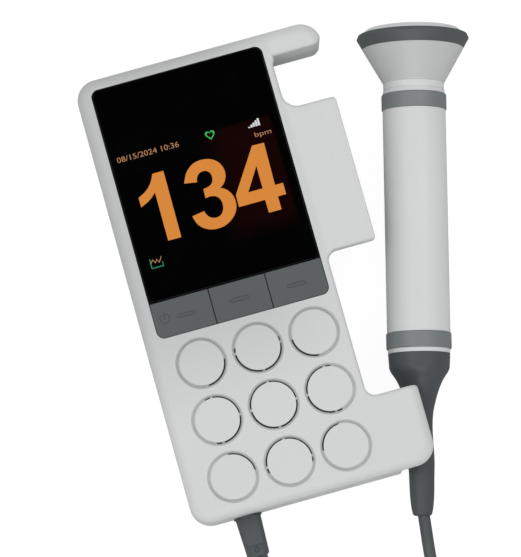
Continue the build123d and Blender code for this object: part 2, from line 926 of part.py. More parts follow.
def rim_band(at, inner):
    """The soft band round the head's edge; it carries on the cone's slope."""
    crown = at["rim"] + rim_crown
    slope = rim_overhang / rim_crown
    shoulder = (rim_radius - rim_lip, crown - rim_lip / slope)
    ledge = at["face"] - face_rebate
    rebate_radius = face_radius + joint_gap / 2
    nose = (rim_radius - rim_edge_round, at["face"])
    eighth = pi / 4
    edge = Spline(
        shoulder,
        (rim_radius, crown),
        (nose[0] + rim_edge_round * cos(eighth), crown + rim_edge_round * sin(eighth)),
        nose,
        tangents=[(slope, 1), (-1, 0)],
    )
    lines = [
        Line((inner, at["rim"]), (cone_radius, at["rim"])),
        Line((cone_radius, at["rim"]), shoulder),
        edge,
        Line(nose, (rebate_radius, at["face"])),
        Line((rebate_radius, at["face"]), (rebate_radius, ledge)),
        Line((rebate_radius, ledge), (inner, ledge)),
        Line((inner, ledge), (inner, at["rim"])),
    ]
    return revolve(make_face(Wire(lines)), axis=Axis.Y)


def sound_face(at, back):
    """The pale front: a seat in the shell, a rounded shoulder and a low dome."""
    seat = cone_radius - 2 * shell_wall - joint_gap
    base = at["face"] - face_rebate + joint_gap / 2
    points = [(face_radius - inward, at["face"] + rise) for inward, rise in face_curve]
    radius, height = points[-1]
    peak = (0, height + dome_height)
    ball = (radius ** 2 + dome_height ** 2) / (2 * dome_height)
    halfway = (radius / 2, peak[1] - ball + sqrt(ball ** 2 - radius ** 2 / 4))
    shoulder = Spline(
        (face_radius, at["face"]), *points, tangents=[(-face_slope, 1), (-ball, radius)],
    )
    lines = [
        Line((0, back), (seat, back)),
        Line((seat, back), (seat, base)),
        Line((seat, base), (face_radius, base)),
        Line((face_radius, base), (face_radius, at["face"])),
        shoulder,
        ThreePointArc(points[-1], halfway, peak),
        Line(peak, (0, back)),
    ]
    return revolve(make_face(Wire(lines)), axis=Axis.Y)


def transducer_parts(at):
    """Sound face, the two crystals behind it and their backing."""
    face_back = at["face"] - face_rebate - face_thickness
    crystal_high = face_back - joint_gap / 2
    crystal_low = crystal_high - crystal_thickness
    disc = rod(0, 0, crystal_low, crystal_high, crystal_radius)
    half_gap = crystal_gap / 2
    far = 2 * crystal_radius
    transmit = disc & block(half_gap, far, crystal_low - beyond, crystal_high + beyond, -far, far)
    receive = disc & block(-far, -half_gap, crystal_low - beyond, crystal_high + beyond, -far, far)
    backing_high = crystal_low - joint_gap / 2
    backing = rod(0, 0, backing_high - backing_thickness, backing_high, backing_radius)
    return {
        "sound_face": sound_face(at, face_back),
        "transmit_crystal": transmit,
        "receive_crystal": receive,
        "crystal_backing": backing,
    }


def probe_inner_parts(at, bore):
    """Board, lead end and clamp inside the probe."""
    middle = (at["body"] + at["high_band"]) / 2
    half = probe_board_length / 2
    board = block(
        -probe_board_width / 2, probe_board_width / 2, middle - half, middle + half,
        -probe_board_thickness / 2, probe_board_thickness / 2,
    )
    lead_end = at["spacer"] + band_length
    lead = rod(0, 0, mouth_depth + clamp_setback, lead_end, cord_diameter / 2)
    clamp = tube(
        bore - joint_gap, cord_diameter / 2 + joint_gap / 2,
        at["spacer"] + clamp_setback, lead_end,
    )
    return {"probe_board": board, "probe_lead_end": lead, "cord_clamp": clamp}


def probe_place():
    """Where the probe lies: its cord exit, turned outwards."""
    return Location((exit_x, exit_y, probe_axis_z), (0, 0, -probe_swing))


# ---------------------------------------------------------------- plug and lead
def facet_section(y, width):
    """The plug's square outline with its corners cut off, at one place along it."""
    outline = Rectangle(width, width)
    cut = plug_body_facet * width / plug_body_width
    plane = Plane(origin=(plug_offset, y, plug_height), x_dir=(1, 0, 0), z_dir=(0, -1, 0))
    return plane * chamfer(outline.vertices(), cut)


def plug_parts():
    """The plug in the bottom end, with its moulded boot."""
    flange_end = bottom - joint_gap - plug_flange_length
    body_end = flange_end - plug_body_length
    place = Pos(plug_offset, 0, plug_height)
    tip_width = plug_body_tip_width - 2 * plug_chamfer
    body = loft(
        [
            facet_section(flange_end, plug_body_width),
            facet_section(body_end + plug_chamfer, plug_body_tip_width),
            facet_section(body_end, tip_width),
        ],
        ruled=True,
    )
    body += rod(plug_offset, plug_height, flange_end, bottom - joint_gap, plug_flange_radius)
    step_top = plug_height + plug_body_tip_width / 2
    step_half = plug_body_tip_width / 2 - plug_body_facet
    step_high = body_end + plug_step_length
    body -= block(
        plug_offset - step_half, plug_offset + step_half, body_end - beyond, step_high,
        step_top - plug_step_depth, step_top + beyond,
    )
    dimple_floor = step_top - plug_step_depth - plug_dimple_depth
    dimple_y = body_end + plug_chamfer + (plug_step_length - plug_chamfer) / 2
    body -= post(plug_offset, dimple_y, dimple_floor, step_top + beyond, plug_dimple_radius)
    pin = rod(
        plug_offset, plug_height, bottom - joint_gap, bottom + plug_pin_length, plug_pin_radius,
    )
    pin = fillet(pin.edges().sort_by(Axis.Y)[-1], plug_pin_round)
    boot = place * turned(
        (0, body_end), (boot_neck_radius, body_end), (boot_tip_radius, body_end - boot_length),
        (0, body_end - boot_length),
    )
    return {"plug_body": body, "plug_pin": pin, "plug_boot": boot}


def route_radii(points):
    """The largest arc that fits at each inner corner of a route."""
    radii = []
    for before, here, after in zip(points, points[1:], points[2:]):
        inward = Vector(*here) - Vector(*before)
        outward = Vector(*after) - Vector(*here)
        half_turn = radians(inward.get_angle(outward)) / 2
        radii.append(arc_share * min(inward.length, outward.length) / tan(half_turn))
    return radii


def lead_tube(name, points):
    """A stretch of the lead as a swept tube, with its arcs printed."""
    radii = route_radii(points)
    path = FilletPolyline(*points, radius=radii)
    section = Plane(origin=path @ 0, z_dir=path % 0) * Circle(cord_diameter / 2)
    lead = sweep(section, path=path)
    ideal = pi * cord_diameter ** 2 / 4 * path.length
    print(name, "radii", [round(r, 1) for r in radii], "length", round(path.length, 1))
    print(name, "volume over section times length", round(lead.volume / ideal, 4))
    return lead, path.length


def coil_turn_radius():
    """Radius of the outermost turn's centre line."""
    return coil_inner_radius + (coil_columns - 1) * coil_pitch


def row_height(row):
    """Height of one layer of turns above the table."""
    return tie_thickness + cord_diameter / 2 + row * coil_pitch


def coil_solid():
    """The wound part of the lead, with the two short ends that leave it."""
    outer = coil_turn_radius() + cord_diameter / 2
    inner = coil_inner_radius - cord_diameter / 2
    high = row_height(coil_rows - 1) + cord_diameter / 2
    ring = post(coil_centre_x, coil_centre_y, tie_thickness, high, outer)
    ring = fillet(ring.edges().filter_by(GeomType.CIRCLE), coil_edge_round)
    ring -= post(coil_centre_x, coil_centre_y, -beyond, high + beyond, inner)
    end = coil_centre_y + coil_stub
    reach = coil_turn_radius()
    ring += rod(coil_centre_x + reach, row_height(0), coil_centre_y, end, cord_diameter / 2)
    ring += rod(
        coil_centre_x - reach, row_height(coil_rows - 1), coil_centre_y, end, cord_diameter / 2,
    )
    return ring


def coil_length():
    """Length of lead in the coil: its turns at their mean radius, and its two ends."""
    mean = coil_inner_radius + (coil_columns - 1) * coil_pitch / 2
    return coil_turns * 2 * pi * mean + 2 * coil_stub


def tie_solid():
    """A strap round the coil's turns."""
    outer = coil_turn_radius() + cord_diameter / 2
    inner = coil_inner_radius - cord_diameter / 2
    high = row_height(coil_rows - 1) + cord_diameter / 2
    near = coil_centre_y - outer - joint_gap
    far = coil_centre_y - inner + joint_gap
    x0 = coil_centre_x - tie_width / 2
    x1 = coil_centre_x + tie_width / 2
    inner_bow = inner - sqrt(inner ** 2 - tie_width ** 2 / 4)
    strap = block(
        x0, x1, near - tie_thickness, far + inner_bow + tie_thickness,
        0, high + joint_gap + tie_thickness,
    )
    return strap - block(
        x0 - beyond, x1 + beyond, near, far + inner_bow, tie_thickness - joint_gap / 2,
        high + joint_gap,
    )


def lead_parts():
    """The two free stretches of the lead, the coil and its tie."""
    away = Vector(-sin(radians(probe_swing)), -cos(radians(probe_swing)), 0)
    start = Vector(exit_x + cord_lean, exit_y, probe_axis_z) + away * cord_start_gap
    end = coil_centre_y + coil_stub
    reach = coil_turn_radius()
    probe_end = (coil_centre_x + reach, end, row_height(0))
    plug_end = (coil_centre_x - reach, end, row_height(coil_rows - 1))
    boot_end = bottom - joint_gap - plug_flange_length - plug_body_length - boot_length
    plug_start = (plug_offset, boot_end, plug_height)
    probe_lead, probe_run = lead_tube(
        "lead_probe_side", [tuple(start), *probe_lead_route, probe_end],
    )
    plug_lead, plug_run = lead_tube("lead_plug_side", [plug_start, *plug_lead_route, plug_end])
    print("lead length", round(probe_run + plug_run + coil_length(), 1))
    return {
        "lead_probe_side": probe_lead,
        "lead_plug_side": plug_lead,
        "lead_coil": coil_solid(),
        "lead_tie": tie_solid(),
    }


# ---------------------------------------------------------------- assembly
def assembly():
    """Every piece of the object, by name."""
    front, rear = casing()
    parts = {"front_casing": front, "rear_casing": rear}
    parts.update(display_parts())
    parts.update(keypad_parts())
    parts.update(electronics_parts())
    parts.update(speaker_parts())
    parts.update(socket_parts())
    parts["case_screws"] = fasteners()
    parts.update(battery_parts())
    parts.update(probe_parts())
    parts.update(plug_parts())
    parts.update(lead_parts())
    return parts


os.makedirs("parts", exist_ok=True)
for node, solid in assembly().items():
    solid.label = node
    export_step(solid, f"parts/{node}.step")
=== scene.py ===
"""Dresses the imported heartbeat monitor: finishes, display image, key marks, lead, tie and studio."""
import logging
import math
from dataclasses import dataclass, field
from enum import Enum
from typing import Any, Mapping, Sequence, Union

import bmesh
import bpy
from mathutils import Matrix, Vector


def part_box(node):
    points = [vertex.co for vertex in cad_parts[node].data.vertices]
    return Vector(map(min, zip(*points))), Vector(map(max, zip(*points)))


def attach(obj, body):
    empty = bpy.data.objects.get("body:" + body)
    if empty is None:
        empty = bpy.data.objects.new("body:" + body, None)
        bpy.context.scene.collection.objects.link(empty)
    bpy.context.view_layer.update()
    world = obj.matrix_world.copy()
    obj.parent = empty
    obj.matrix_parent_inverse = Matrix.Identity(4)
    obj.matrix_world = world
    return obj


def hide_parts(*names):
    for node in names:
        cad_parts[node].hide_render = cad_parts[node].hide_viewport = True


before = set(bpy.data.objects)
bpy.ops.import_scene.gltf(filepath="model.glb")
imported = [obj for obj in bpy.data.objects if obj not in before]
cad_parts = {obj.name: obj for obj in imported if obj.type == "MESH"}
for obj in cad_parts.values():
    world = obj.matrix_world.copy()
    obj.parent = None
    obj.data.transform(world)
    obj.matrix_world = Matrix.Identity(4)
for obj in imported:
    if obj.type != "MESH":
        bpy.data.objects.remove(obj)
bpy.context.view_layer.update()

LOG = logging.getLogger("monitor")

Colour = tuple[float, float, float]
Point = tuple[float, float]
Place = tuple[float, float, float]
Box = tuple[float, float, float, float]
Corner = tuple[float, float, bool]
Piece = bpy.types.Object
Operand = Union["Socket", float, int]

MM = 0.001
WHITE: Colour = (1.0, 1.0, 1.0)
# Where the lead leaves the probe's strain relief, in millimetres.
PROBE_FOOT: Place = (36.05, -84.6, 17.4)


# ------------------------------ shader expressions
class Socket:
    """An output of a shader node that takes part in Python expressions."""

    def __init__(self, graph: "Graph", output: bpy.types.NodeSocket) -> None:
        """Keeps the graph and the node's output."""
        self.graph = graph
        self.output = output

    def math(self, operation: str, *others: Operand) -> "Socket":
        """The result of a Math node of an operation, with this value first."""
        values = dict(enumerate((self, *others)))
        return self.graph.node("ShaderNodeMath", {"operation": operation}, values)

    def __add__(self, other: Operand) -> "Socket":
        """The sum."""
        return self.math("ADD", other)

    __radd__ = __add__

    def __mul__(self, other: Operand) -> "Socket":
        """The product."""
        return self.math("MULTIPLY", other)

    __rmul__ = __mul__

    def __sub__(self, other: Operand) -> "Socket":
        """The difference."""
        return self.math("SUBTRACT", other)

    def __rsub__(self, other: Operand) -> "Socket":
        """The difference, with this value taken away."""
        return self * -1.0 + other

    def __truediv__(self, other: Operand) -> "Socket":
        """The quotient."""
        return self.math("DIVIDE", other)

    def __pow__(self, other: Operand) -> "Socket":
        """The power."""
        return self.math("POWER", other)

    def __abs__(self) -> "Socket":
        """The size without its sign."""
        return self.math("ABSOLUTE")

    def sine(self) -> "Socket":
        """The sine of an angle in radians."""
        return self.math("SINE")

    def most(self, other: Operand) -> "Socket":
        """The higher of two values."""
        return self.math("MAXIMUM", other)

    def step(self, low: float, high: float, start: float = 0.0, end: float = 1.0) -> "Socket":
        """A smooth step between two values.

        Args:
            low: Where the step starts.
            high: Where it ends.
            start: The result below the step.
            end: The result above it.

        Returns:
            The stepped value.
        """
        return self.graph.node(
            "ShaderNodeMapRange",
            {"interpolation_type": "SMOOTHSTEP"},
            {0: self, 1: low, 2: high, 3: start, 4: end},
        )


class Graph:
    """The node tree of one material or of the world."""

    def __init__(self, tree: bpy.types.NodeTree) -> None:
        """Empties the node tree, to build in it."""
        self.tree = tree
        tree.nodes.clear()

    def node(
        self,
        kind: str,
        settings: Mapping[str, Any] | None = None,
        values: Mapping[int | str, Any] | None = None,
        output: int | str = 0,
    ) -> Socket:
        """Adds any node.

        Args:
            kind: The node's type.
            settings: Its properties.
            values: Its inputs by name or number, as values or links.
            output: The output that is wanted.

        Returns:
            That output.
        """
        made = self.tree.nodes.new(kind)
        for name, setting in (settings or {}).items():
            setattr(made, name, setting)
        for name, value in (values or {}).items():
            self.feed(made.inputs[name], value)
        return Socket(self, made.outputs[output]) if made.outputs else Socket(self, None)

    def feed(self, entry: bpy.types.NodeSocket, value: Any) -> None:
        """Links or sets one input.

        Args:
            entry: The input socket.
            value: A socket, a number, or the parts of a colour or vector.
        """
        if isinstance(value, Socket):
            self.tree.links.new(value.output, entry)
        elif isinstance(value, (tuple, list)) and entry.type == "RGBA" and len(value) == 3:
            entry.default_value = (*value, 1.0)
        else:
            entry.default_value = value

    def place(self) -> Socket:
        """The point on the piece, in metres, in the frame that it was modelled in."""
        return self.node("ShaderNodeTexCoord", output="Object")

    def axes(self, vector: Socket) -> tuple[Socket, Socket, Socket]:
        """Splits a vector.

        Args:
            vector: The vector.

        Returns:
            Its three parts.
        """
        split = self.node("ShaderNodeSeparateXYZ", values={0: vector})
        outputs = split.output.node.outputs
        return tuple(Socket(self, outputs[index]) for index in range(3))

    def stretch(self, vector: Socket, scale: Place) -> Socket:
        """The vector with its parts multiplied."""
        return self.node("ShaderNodeVectorMath", {"operation": "MULTIPLY"}, {0: vector, 1: scale})

    def noise(self, size: float, detail: float = 2.0, vector: Socket | None = None) -> Socket:
        """Noise whose grains have a real size.

        Args:
            size: The size of a grain, in metres.
            detail: How many finer layers it has.
            vector: Where it is looked up; the piece's own place if left out.

        Returns:
            A value around one half.
        """
        return self.node(
            "ShaderNodeTexNoise",
            values={"Vector": vector or self.place(), "Scale": 1.0 / size, "Detail": detail},
        )

    def mix(self, factor: Operand, low: Any, high: Any) -> Socket:
        """A mix of two colours; the factor is the share of the second."""
        return self.node("ShaderNodeMix", {"data_type": "RGBA"}, {0: factor, 6: low, 7: high}, output=2)

    def shades(self, factor: Operand, colour: Colour, low: float, high: float) -> Socket:
        """A mix of two shades of a colour, each given as what the colour is multiplied by."""
        return self.mix(factor, scaled(colour, low), scaled(colour, high))

    def bump(self, height: Socket, depth: float, strength: float) -> Socket:
        """A normal that shows a height from 0 to 1, where 1 stands for a depth in metres."""
        return self.node("ShaderNodeBump", values={"Height": height, "Distance": depth, "Strength": strength})

    def ray(self, kind: str) -> Socket:
        """Whether a ray is of a kind, as 1 or 0."""
        return self.node("ShaderNodeLightPath", output=f"Is {kind} Ray")

    def mixed(self, factor: Operand, first: Socket, second: Socket) -> Socket:
        """Two shaders mixed; the factor is the share of the second."""
        return self.node("ShaderNodeMixShader", values={0: factor, 1: first, 2: second})

    def surface(self, values: Mapping[str, Any]) -> None:
        """Ends the tree in one principled surface with these inputs."""
        shader = self.node("ShaderNodeBsdfPrincipled", values=values)
        self.node("ShaderNodeOutputMaterial", values={"Surface": shader})


def scaled(colour: Colour, share: float) -> Colour:
    """A colour made lighter or darker."""
    return tuple(min(1.0, part * share) for part in colour)


# ------------------------------ finishes
@dataclass(frozen=True)
class Finish:
    """What every finish has: a name, and a way to make its material once."""

    name: str

    def build(self, graph: Graph) -> None:
        """Builds the finish's nodes.

        Args:
            graph: The material's node tree.
        """
        raise NotImplementedError

    def material(self) -> bpy.types.Material:
        """Makes the finish's material on its first use.

        Returns:
            The material.
        """
        found = bpy.data.materials.get(self.name)
        if found is None:
            found = bpy.data.materials.new(self.name)
            found.use_nodes = True
            self.build(Graph(found.node_tree))
        return found

    def dress(self, piece: Piece) -> None:
        """Gives a mesh or curve this finish alone."""
        piece.data.materials.clear()
        piece.data.materials.append(self.material())


@dataclass(frozen=True)
class Moulding(Finish):
    """Moulded plastic or rubber with the fine grain of its tool."""

    colour: Colour = (0.6, 0.6, 0.6)
    roughness: float = 0.42
    grain: float = 0.22 * MM
    relief: float = 0.006 * MM
    mottle: float = 0.02
    specular: float = 0.4

    def build(self, graph: Graph) -> None:
        """Builds grain, faint flow marks and a roughness that varies with the grain and with use.

        Args:
            graph: The material's node tree.
        """
        grain = graph.noise(self.grain, 4.0)
        handled = graph.noise(9 * MM, 5.0).step(0.42, 0.72)
        graph.surface({
            "Base Color": self.with_painted_shade(graph, self.flowed(graph, 26 * MM)),
            "Roughness": grain * 0.10 - 0.05 + self.roughness - handled * 0.05,
            "Specular IOR Level": self.specular,
            "Normal": graph.bump(grain, self.relief, 0.6),
        })

    def flowed(self, graph: Graph, size: float) -> Socket:
        """The colour with faint flow marks of a size in metres."""
        marks = graph.noise(size, 3.0).step(0.3, 0.7)
        return graph.shades(marks, self.colour, 1 - self.mottle, 1 + self.mottle)

    def with_painted_shade(self, graph: Graph, colour: Socket) -> Socket:
        """The colour with any painted shade that a finish adds; a plain moulding paints none and leaves it as
        it is.
        """
        return colour


@dataclass(frozen=True)
class CaseMoulding(Moulding):
    """The case's plastic, with painted shade: its colour a little darker along the display's outer side."""

    painted_shade: float = 0.80
    painted_shade_rise: Point = (-44.0, 2.0)
    painted_shade_fade: Point = (4.0, 30.0)

    def with_painted_shade(self, graph: Graph, colour: Socket) -> Socket:
        """The colour with painted shade: darker at the upper left and plain by the grille, the tab and the
        ear.

        Args:
            graph: The material's node tree.
            colour: The plain colour.

        Returns:
            The colour.
        """
        x, y, _ = graph.axes(graph.place())
        low, high = (part * MM for part in self.painted_shade_rise)
        left, right = (part * MM for part in self.painted_shade_fade)
        # Painted shade: the case's colour darkens towards the upper left beside the display, standing in for
        # its shading there.
        edge = x.step(right - 1.5 * MM, right, 1.0, 0.0)
        where = y.step(low, high) * x.step(left, right, 1.0, 0.25) * edge
        return graph.mix(where, colour, scaled(self.colour, self.painted_shade))


@dataclass(frozen=True)
class TurnedMoulding(Moulding):
    """A moulding that was also polished round the probe's length."""

    axis_angle: float = 14.7

    def along(self, graph: Graph) -> Socket:
        """How far a place is along the probe from its foot.

        Args:
            graph: The material's node tree.

        Returns:
            The distance, in metres.
        """
        x, y, _ = graph.axes(graph.place())
        angle = math.radians(self.axis_angle)
        return (x - PROBE_FOOT[0] * MM) * math.sin(angle) + (y - PROBE_FOOT[1] * MM) * math.cos(angle)

    def build(self, graph: Graph) -> None:
        """Builds the grain with fine rings across the probe.

        Args:
            graph: The material's node tree.
        """
        rings = (self.along(graph) * (2 * math.pi / (0.35 * MM))).sine()
        grain = graph.noise(self.grain, 4.0)
        graph.surface({
            "Base Color": self.with_painted_shade(graph, self.flowed(graph, 18 * MM)),
            "Roughness": grain * 0.08 - 0.04 + self.roughness,
            "Specular IOR Level": self.specular,
            "Normal": graph.bump(grain * 0.8 + rings * 0.06, self.relief, 0.6),
        })


@dataclass(frozen=True)
class HeadMoulding(TurnedMoulding):
    """The head's plastic: a pale neck and a cone with painted shade, a little darker in colour."""

    cone_from: float = 133.7
    painted_shade: float = 0.79

    def with_painted_shade(self, graph: Graph, colour: Socket) -> Socket:
        """The colour, darker past the neck: painted shade on the cone.

        Args:
            graph: The material's node tree.
            colour: The plain colour.

        Returns:
            The colour.
        """
        # Painted shade: the cone's colour is darkened to stand in for the shade on its down-facing slope.
        cone = self.along(graph).step((self.cone_from - 0.3) * MM, (self.cone_from + 0.3) * MM)
        return graph.mix(cone, colour, scaled(self.colour, self.painted_shade))


@dataclass(frozen=True)
class WindowGlass(Finish):
    """Black glass with the faint glow of the lit screen behind it."""

    glow_low: Point = (-2.0, 8.0)
    glow_high: Point = (24.4, 45.6)
    glow: Colour = (0.0075, 0.0006, 0.0004)

    def build(self, graph: Graph) -> None:
        """Builds the glass with a soft-edged patch of light.

        Args:
            graph: The material's node tree.
        """
        x, y, _ = graph.axes(graph.place())
        left, low = (part * MM for part in self.glow_low)
        right, high = (part * MM for part in self.glow_high)
        inside = x.step(left, left + 12 * MM) * x.step(right - 1.6 * MM, right, 1.0, 0.0)
        inside = inside * y.step(low, low + 9 * MM) * y.step(high - 1.5 * MM, high, 1.0, 0.0)
        wiped = graph.noise(7 * MM, 4.0).step(0.45, 0.75)
        graph.surface({
            "Base Color": graph.mix(wiped, (0.0006, 0.0007, 0.0008), (0.0010, 0.0011, 0.0013)),
            "Roughness": wiped * 0.05 + 0.05,
            "Specular IOR Level": 0.12,
            "Emission Color": graph.mix(inside, (0.0, 0.0, 0.0), self.glow),
            "Emission Strength": 1.0,
        })


@dataclass(frozen=True)
class LitSign(Finish):
    """A sign on the screen, lit from behind in one colour."""

    colour: Colour = (0.66, 0.24, 0.05)

    def build(self, graph: Graph) -> None:
        """Builds the light with the fine grid of the screen's dots.

        Args:
            graph: The material's node tree.
        """
        x, y, _ = graph.axes(graph.place())
        pitch = 2 * math.pi / (0.21 * MM)
        grid = ((x * pitch).sine() * 0.5 + 0.5) * ((y * pitch).sine() * 0.5 + 0.5)
        graph.surface({
            "Base Color": (0.002, 0.002, 0.002),
            "Roughness": 0.08,
            "Specular IOR Level": 0.22,
            "Emission Color": graph.shades(grid, self.colour, 0.97, 1.05),
            "Emission Strength": 1.0,
        })


@dataclass(frozen=True)
class Sheath(Finish):
    """The lead's soft plastic jacket."""

    colour: Colour = (0.075, 0.083, 0.085)
    roughness: float = 0.48

    def build(self, graph: Graph) -> None:
        """Builds the jacket's faint drawn texture.

        Args:
            graph: The material's node tree.
        """
        drawn = graph.noise(0.5 * MM, 5.0)
        rub = graph.noise(14 * MM, 4.0).step(0.4, 0.7)
        graph.surface({
            "Base Color": graph.shades(rub, self.colour, 0.94, 1.08),
            "Roughness": drawn * 0.12 - 0.06 + self.roughness,
            "Specular IOR Level": 0.35,
            "Normal": graph.bump(drawn, 0.012 * MM, 0.5),
        })


@dataclass(frozen=True)
class Metal(Finish):
    """Bare metal with the marks of its making along one direction."""

    colour: Colour = (0.62, 0.62, 0.63)
    roughness: float = 0.32
    marks: Place = (60.0, 2500.0, 2500.0)

    def build(self, graph: Graph) -> None:
        """Builds the brushed marks.

        Args:
            graph: The material's node tree.
        """
        lines = graph.noise(1.0, 3.0, graph.stretch(graph.place(), self.marks))
        dull = graph.noise(6 * MM, 3.0)
        graph.surface({
            "Base Color": graph.shades(dull, self.colour, 0.82, 1.0),
            "Metallic": 1.0,
            "Roughness": lines * 0.22 - 0.11 + self.roughness,
            "Normal": graph.bump(lines, 0.006 * MM, 0.6),
        })


@dataclass(frozen=True)
class CircuitBoard(Finish):
    """A green board with its tracks and pads under the solder mask."""

    mask: Colour = (0.012, 0.10, 0.045)
    track: Colour = (0.03, 0.19, 0.08)

    def build(self, graph: Graph) -> None:
        """Builds the tracks and pads.

        Args:
            graph: The material's node tree.
        """
        place = graph.place()
        x, y, _ = graph.axes(place)
        steps = graph.node(
            "ShaderNodeTexVoronoi", {"distance": "MANHATTAN"}, {"Vector": place, "Scale": 420.0}
        )
        bus = abs((x * (2 * math.pi / (1.27 * MM))).sine()).step(0.86, 0.95)
        rows = graph.noise(5 * MM, 0.0).step(0.52, 0.54)
        tracks = (bus * rows).most(steps.step(0.02, 0.05, 1.0, 0.0))
        dots = graph.node("ShaderNodeTexVoronoi", values={"Vector": place, "Scale": 260.0})
        pads = dots.step(0.10, 0.12, 1.0, 0.0)
        colour = graph.mix(pads, graph.mix(tracks, self.mask, self.track), (0.62, 0.6, 0.56))
        graph.surface({
            "Base Color": colour,
            "Metallic": pads * 0.9,
            "Roughness": pads * 0.05 + 0.32,
            "Normal": graph.bump(tracks.most(pads), 0.03 * MM, 0.7),
        })


@dataclass(frozen=True)
class Woven(Finish):
    """A close plain weave."""

    colour: Colour = (0.03, 0.03, 0.032)
    pitch: float = 0.4 * MM

    def build(self, graph: Graph) -> None:
        """Builds warp and weft, with painted shade between the threads.

        Args:
            graph: The material's node tree.
        """
        x, y, z = graph.axes(graph.place())
        rate = math.pi / self.pitch
        across = (x * rate).sine()
        along = ((y + z * 0.5) * rate).sine()
        over = (across * along).step(-0.2, 0.2)
        threads = abs(across) * over + abs(along) * (1 - over)
        fuzz = graph.noise(0.15 * MM, 3.0)
        height = threads + fuzz * 0.25
        # Painted shade: the colour darkens in the hollows between the threads and lightens on their tops; the
        # fuzz adds random tone.
        graph.surface({
            "Base Color": graph.shades(height, self.colour, 0.4, 1.5),
            "Roughness": fuzz * 0.1 + 0.8,
            "Specular IOR Level": 0.2,
            "Sheen Weight": 0.2,
            "Normal": graph.bump(height, 0.09 * MM, 0.8),
        })


@dataclass(frozen=True)
class CellSleeve(Finish):
    """A dry cell's plain printed sleeve, with its bare ends."""

    low: float = 0.0
    high: float = 1.0
    cap_first: bool = False
    sleeve: Colour = (0.03, 0.07, 0.16)
    band: Colour = (0.58, 0.45, 0.16)

    def build(self, graph: Graph) -> None:
        """Builds the sleeve's two colours and the metal ends.

        Args:
            graph: The material's node tree.
        """
        _, y, _ = graph.axes(graph.place())
        share = (y - self.low) / (self.high - self.low)
        if self.cap_first:
            share = 1 - share
        banded = share.step(0.70, 0.705)
        bare = share.step(0.012, 0.016, 1.0, 0.0).most(share.step(0.972, 0.976))
        colour = graph.mix(bare, graph.mix(banded, self.sleeve, self.band), (0.66, 0.66, 0.67))
        graph.surface({
            "Base Color": colour,
            "Metallic": (banded * 0.55).most(bare),
            "Roughness": graph.noise(3 * MM, 3.0) * 0.1 + 0.22,
        })


@dataclass(frozen=True)
class PressedPaper(Finish):
    """A loudspeaker's pressed paper, ribbed round its middle."""

    centre: Point = (0.0, 0.0)

    def build(self, graph: Graph) -> None:
        """Builds round ribs and paper fibres.

        Args:
            graph: The material's node tree.
        """
        x, y, _ = graph.axes(graph.place())
        far = ((x - self.centre[0] * MM) ** 2.0 + (y - self.centre[1] * MM) ** 2.0) ** 0.5
        ribs = (far * (2 * math.pi / (1.4 * MM))).sine() * 0.5 + 0.5
        fibre = graph.noise(0.3 * MM, 5.0)
        graph.surface({
            "Base Color": graph.mix(fibre, (0.035, 0.035, 0.037), (0.075, 0.075, 0.078)),
            "Roughness": fibre * 0.1 + 0.75,
            "Normal": graph.bump(ribs * 0.7 + fibre * 0.3, 0.15 * MM, 0.7),
        })


@dataclass(frozen=True)
class Sintered(Finish):
    """A matt fired or filled body with a fine speckle."""

    colour: Colour = (0.72, 0.69, 0.6)
    speckle: float = 0.6 * MM
    roughness: float = 0.6

    def build(self, graph: Graph) -> None:
        """Builds the speckle.

        Args:
            graph: The material's node tree.
        """
        specks = graph.noise(self.speckle, 5.0).step(0.35, 0.65)
        graph.surface({
            "Base Color": graph.shades(specks, self.colour, 0.82, 1.08),
            "Roughness": specks * 0.1 + self.roughness,
            "Normal": graph.bump(specks, 0.02 * MM, 0.5),
        })


